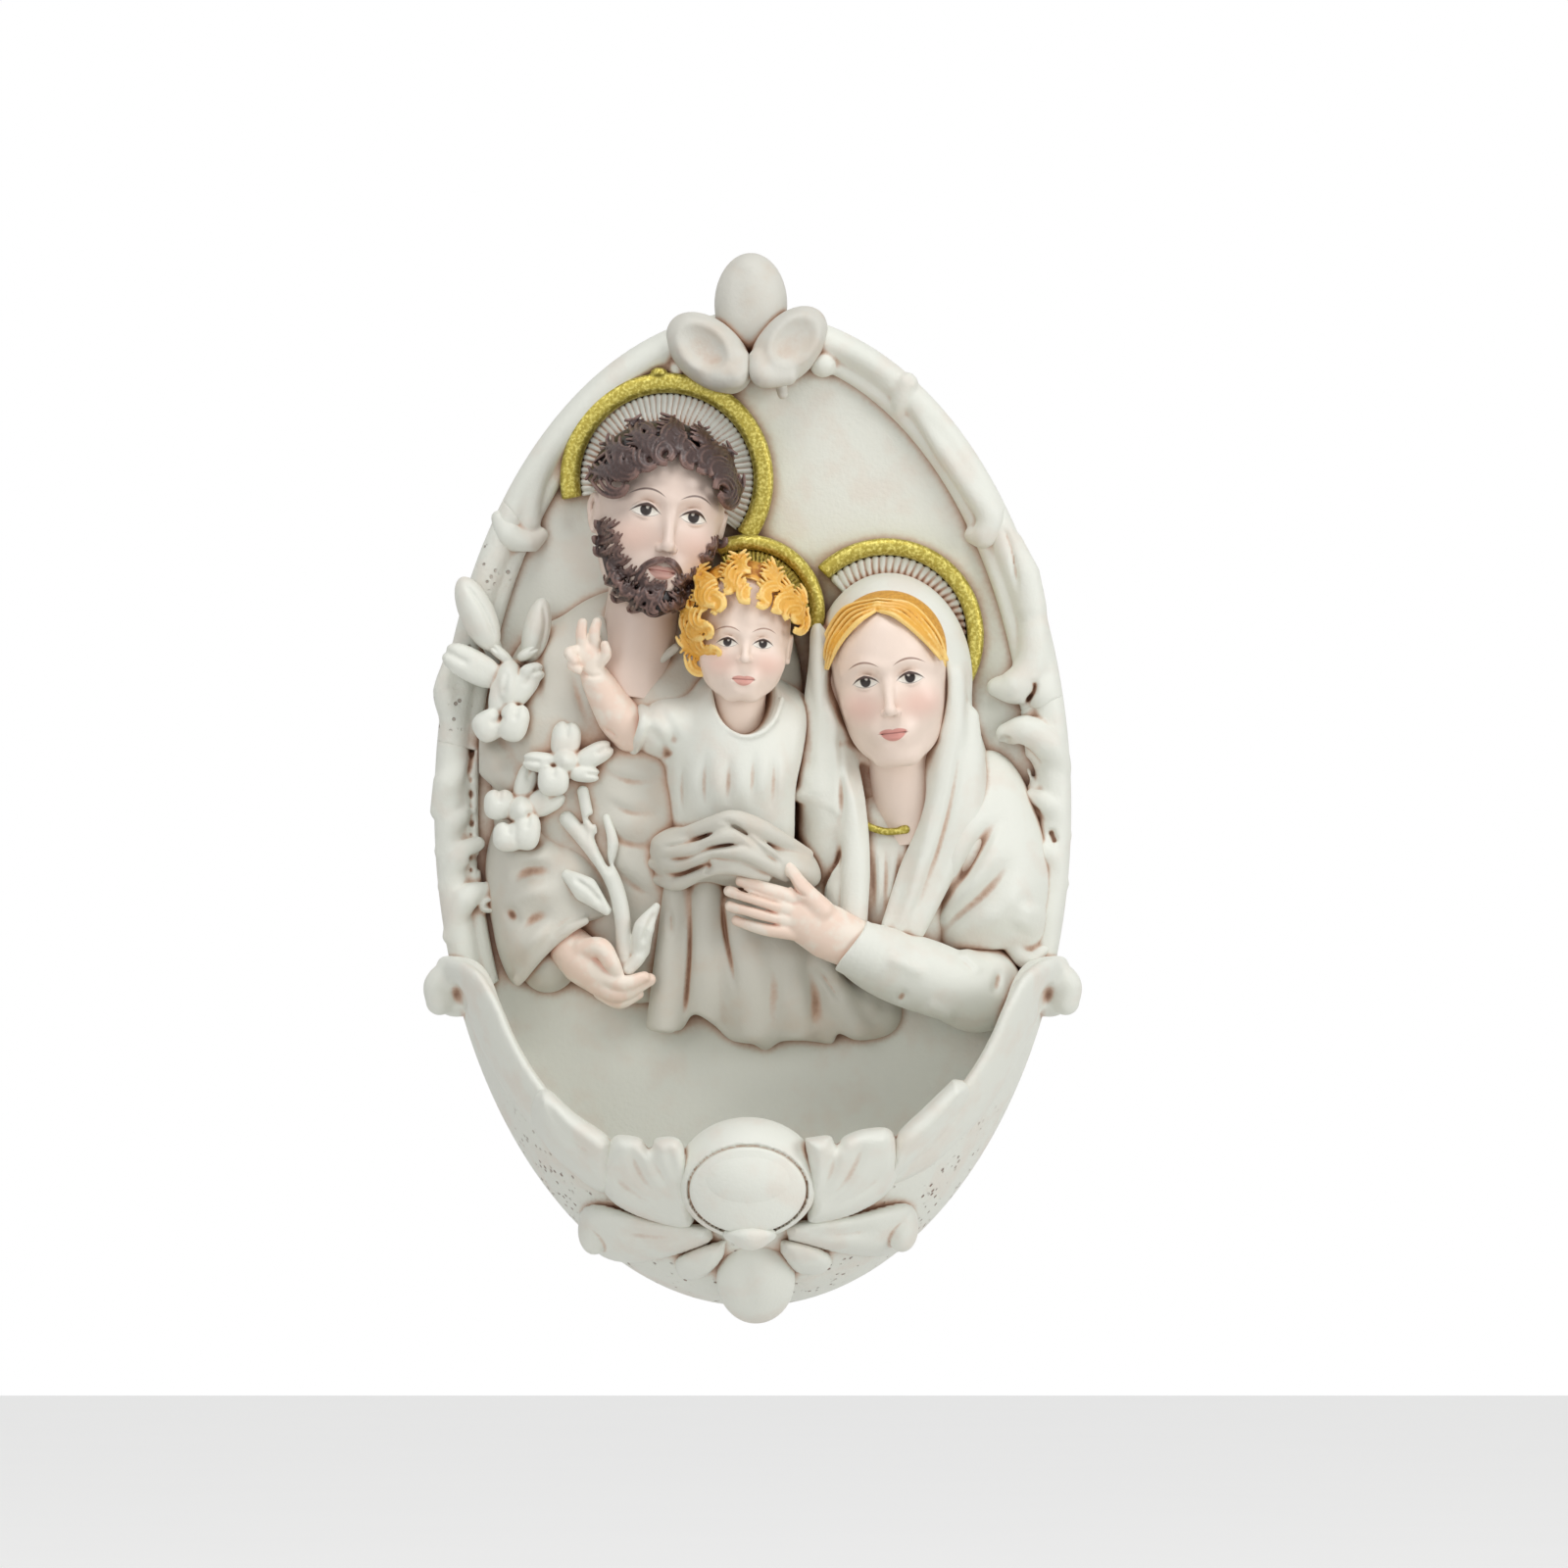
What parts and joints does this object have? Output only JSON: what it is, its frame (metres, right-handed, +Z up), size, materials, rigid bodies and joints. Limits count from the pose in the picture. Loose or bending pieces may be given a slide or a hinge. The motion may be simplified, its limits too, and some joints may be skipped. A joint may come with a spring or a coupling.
{
  "type": "wall-hung holy water stoup",
  "caption": "Oval wall-hung holy water stoup: a scroll-lipped half bowl under a high-relief bust group of the Holy Family on a moulded plate, with a swinging hanging ring let into its back.",
  "frame": {"origin": "centre of the oval plate's back face, which lies on the wall", "axes": "+Z up, +Y into the wall, front faces -Y, +X to the viewer's right"},
  "size_m": [0.1008, 0.049, 0.1644],
  "materials": {
    "cream_resin": "matte",
    "tinted_skin": "satin",
    "dark_hair": "matte",
    "fair_hair": "matte",
    "gilt": "satin metallic paint",
    "zinc_steel": "bright zinc"
  },
  "bodies": {
    "stoup": {"basin": "cream_resin", "border_left_lower": "cream_resin", "border_left_middle": "cream_resin", "border_left_upper": "cream_resin", "border_right_lower": "cream_resin", "border_right_middle": "cream_resin", "border_right_upper": "cream_resin", "child_arm": "tinted_skin", "child_hair": "fair_hair", "child_halo_glory": "cream_resin", "child_halo_ring": "gilt", "child_head": "tinted_skin", "child_tunic": "cream_resin", "crest_left": "cream_resin", "crest_middle": "cream_resin", "crest_right": "cream_resin", "father_beard": "dark_hair", "father_hair": "dark_hair", "father_halo_glory": "cream_resin", "father_halo_ring": "gilt", "father_hand": "tinted_skin", "father_head": "tinted_skin", "father_robe": "cream_resin", "father_sleeve": "cream_resin", "hanger_screw": "zinc_steel", "hanger_strap": "zinc_steel", "hanging_cloth": "cream_resin", "leaf_bottom": "cream_resin", "leaf_fan_left": "cream_resin", "leaf_fan_right": "cream_resin", "leaf_lip_left": "cream_resin", "leaf_lip_right": "cream_resin", "leaf_small_left": "cream_resin", "leaf_small_right": "cream_resin", "leaf_wing_left": "cream_resin", "leaf_wing_right": "cream_resin", "lily_lower_blossom": "cream_resin", "lily_middle_blossom": "cream_resin", "lily_small_bud": "cream_resin", "lily_stem": "cream_resin", "lily_tall_bud": "cream_resin", "lily_upper_blossom": "cream_resin", "medallion_bead": "cream_resin", "medallion_disc": "cream_resin", "medallion_ring": "cream_resin", "mother_collar": "gilt", "mother_dress": "cream_resin", "mother_hair": "fair_hair", "mother_halo_glory": "cream_resin", "mother_halo_ring": "gilt", "mother_hand": "tinted_skin", "mother_head": "tinted_skin", "mother_mantle": "cream_resin", "mother_sleeve": "cream_resin", "mother_veil": "cream_resin", "plate": "cream_resin", "rim_left": "cream_resin", "rim_right": "cream_resin", "swaddling_cloth": "cream_resin"},
    "hanging_ring": {"hanger_ring": "zinc_steel"}
  },
  "joints": [
    {"name": "ring_swing", "type": "hinge", "parent": "stoup", "child": "hanging_ring", "pos_m": [0, -0.00324, 0.059], "axis": [-1, 0, 0], "range_deg": [0, 170]}
  ]
}
